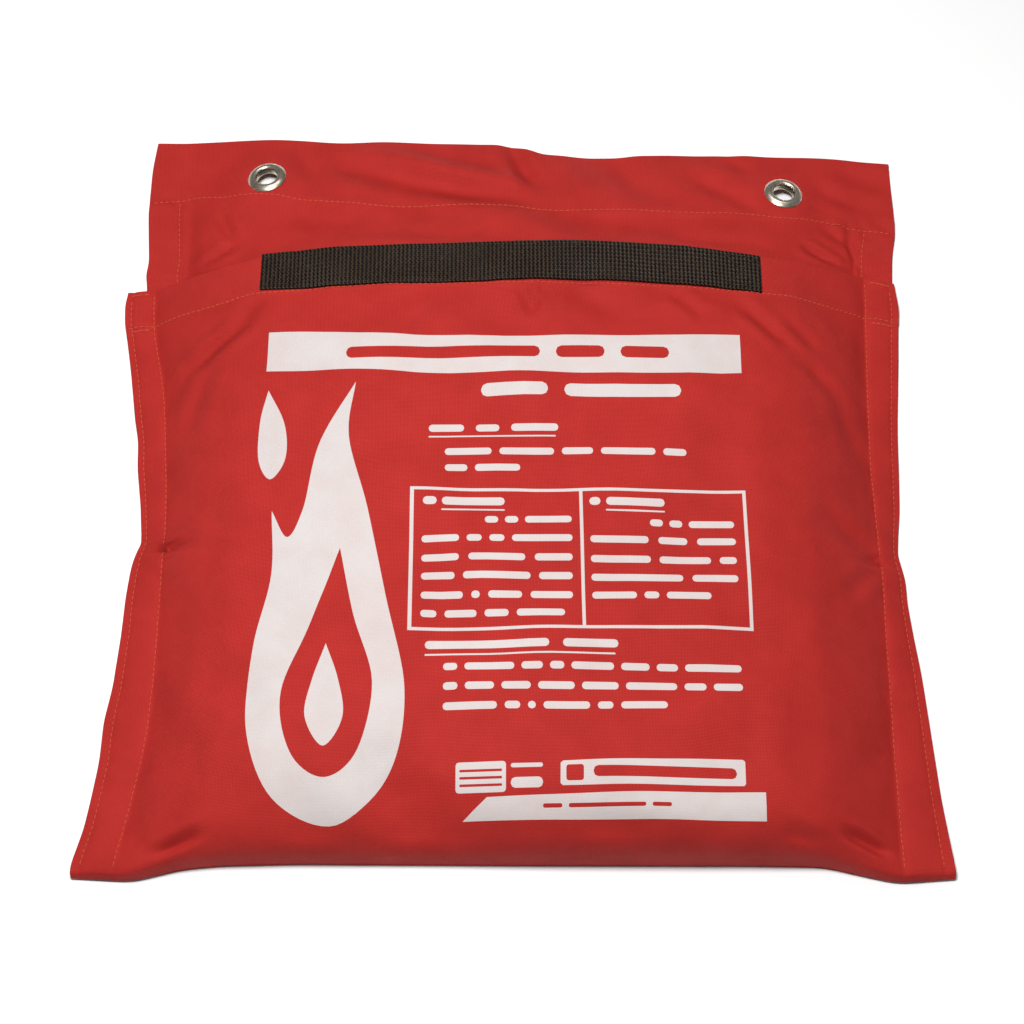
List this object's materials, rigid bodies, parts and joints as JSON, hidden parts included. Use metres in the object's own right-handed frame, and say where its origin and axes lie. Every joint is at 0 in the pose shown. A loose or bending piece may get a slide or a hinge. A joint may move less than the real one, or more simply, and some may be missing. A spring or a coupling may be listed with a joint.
{
  "type": "fire blanket",
  "caption": "Fire blanket folded into a red cloth storage bag with a hook-and-loop mouth, a black pull strap and a grommeted hanging header.",
  "frame": {"origin": "middle of the bag's outline, on the plane that the bag's back lies on", "axes": "+X across the bag, +Y from the bottom fold to the grommeted header, +Z out of the printed front"},
  "size_m": [0.457, 0.44, 0.0507],
  "materials": {
    "bag_cloth": "coated plain-weave cloth, satin",
    "bag_thread": "light orange-red polyester lockstitch",
    "webbing": "ribbed black polypropylene webbing",
    "grommet_metal": "nickel-plated brass, polished",
    "loop_tape": "black brushed loop pile",
    "hook_tape": "black nylon hooks on woven tape",
    "blanket_wool": "felted grey wool twill"
  },
  "bodies": {
    "pouch": {"back_panel": "bag_cloth", "bottom_fold": "bag_cloth", "front_panel": "bag_cloth", "side_seam_left": "bag_cloth", "side_seam_right": "bag_cloth", "seam_stitching_left": "bag_thread", "seam_stitching_right": "bag_thread", "bar_tacks": "bag_thread", "mouth_corner_left": "bag_cloth", "mouth_corner_right": "bag_cloth", "closure_wall": "bag_cloth", "closure_facing": "bag_cloth", "loop_tape": "loop_tape"},
    "blanket": {"folded_blanket": "blanket_wool"},
    "front_flap": {"mouth_panel": "bag_cloth", "mouth_hem": "bag_cloth", "hem_stitching": "bag_thread", "hook_tape": "hook_tape", "strap_end_left": "webbing", "strap_end_right": "webbing", "strap_stitching": "bag_thread"},
    "strap": {"pull_strap": "webbing"},
    "header": {"header_panel": "bag_cloth", "header_hem": "bag_cloth", "header_side_hem_left": "bag_cloth", "header_side_hem_right": "bag_cloth", "header_stitching": "bag_thread", "grommet_left": "grommet_metal", "grommet_right": "grommet_metal", "grommet_washer_left": "grommet_metal", "grommet_washer_right": "grommet_metal"}
  },
  "joints": [
    {"name": "blanket_slide", "type": "slide", "parent": "pouch", "child": "blanket", "axis": [0, 1, 0], "range_m": [0, 0.44], "deforming": ["closure_wall", "closure_facing", "loop_tape", "header_panel", "header_hem", "header_side_hem_left", "header_side_hem_right", "header_stitching", "grommet_left", "grommet_right", "grommet_washer_left", "grommet_washer_right"]},
    {"name": "mouth_open", "type": "hinge", "parent": "pouch", "child": "front_flap", "pos_m": [0, 0.04, 0.0489], "axis": [1, 0, 0], "range_deg": [0, 28]},
    {"name": "strap_lift", "type": "slide", "parent": "front_flap", "child": "strap", "axis": [0, 0, 1], "range_m": [0, 0.012]},
    {"name": "header_fold", "type": "hinge", "parent": "pouch", "child": "header", "pos_m": [0, 0.1305, 0.0431], "axis": [1, 0, 0], "range_deg": [0, 60]}
  ]
}
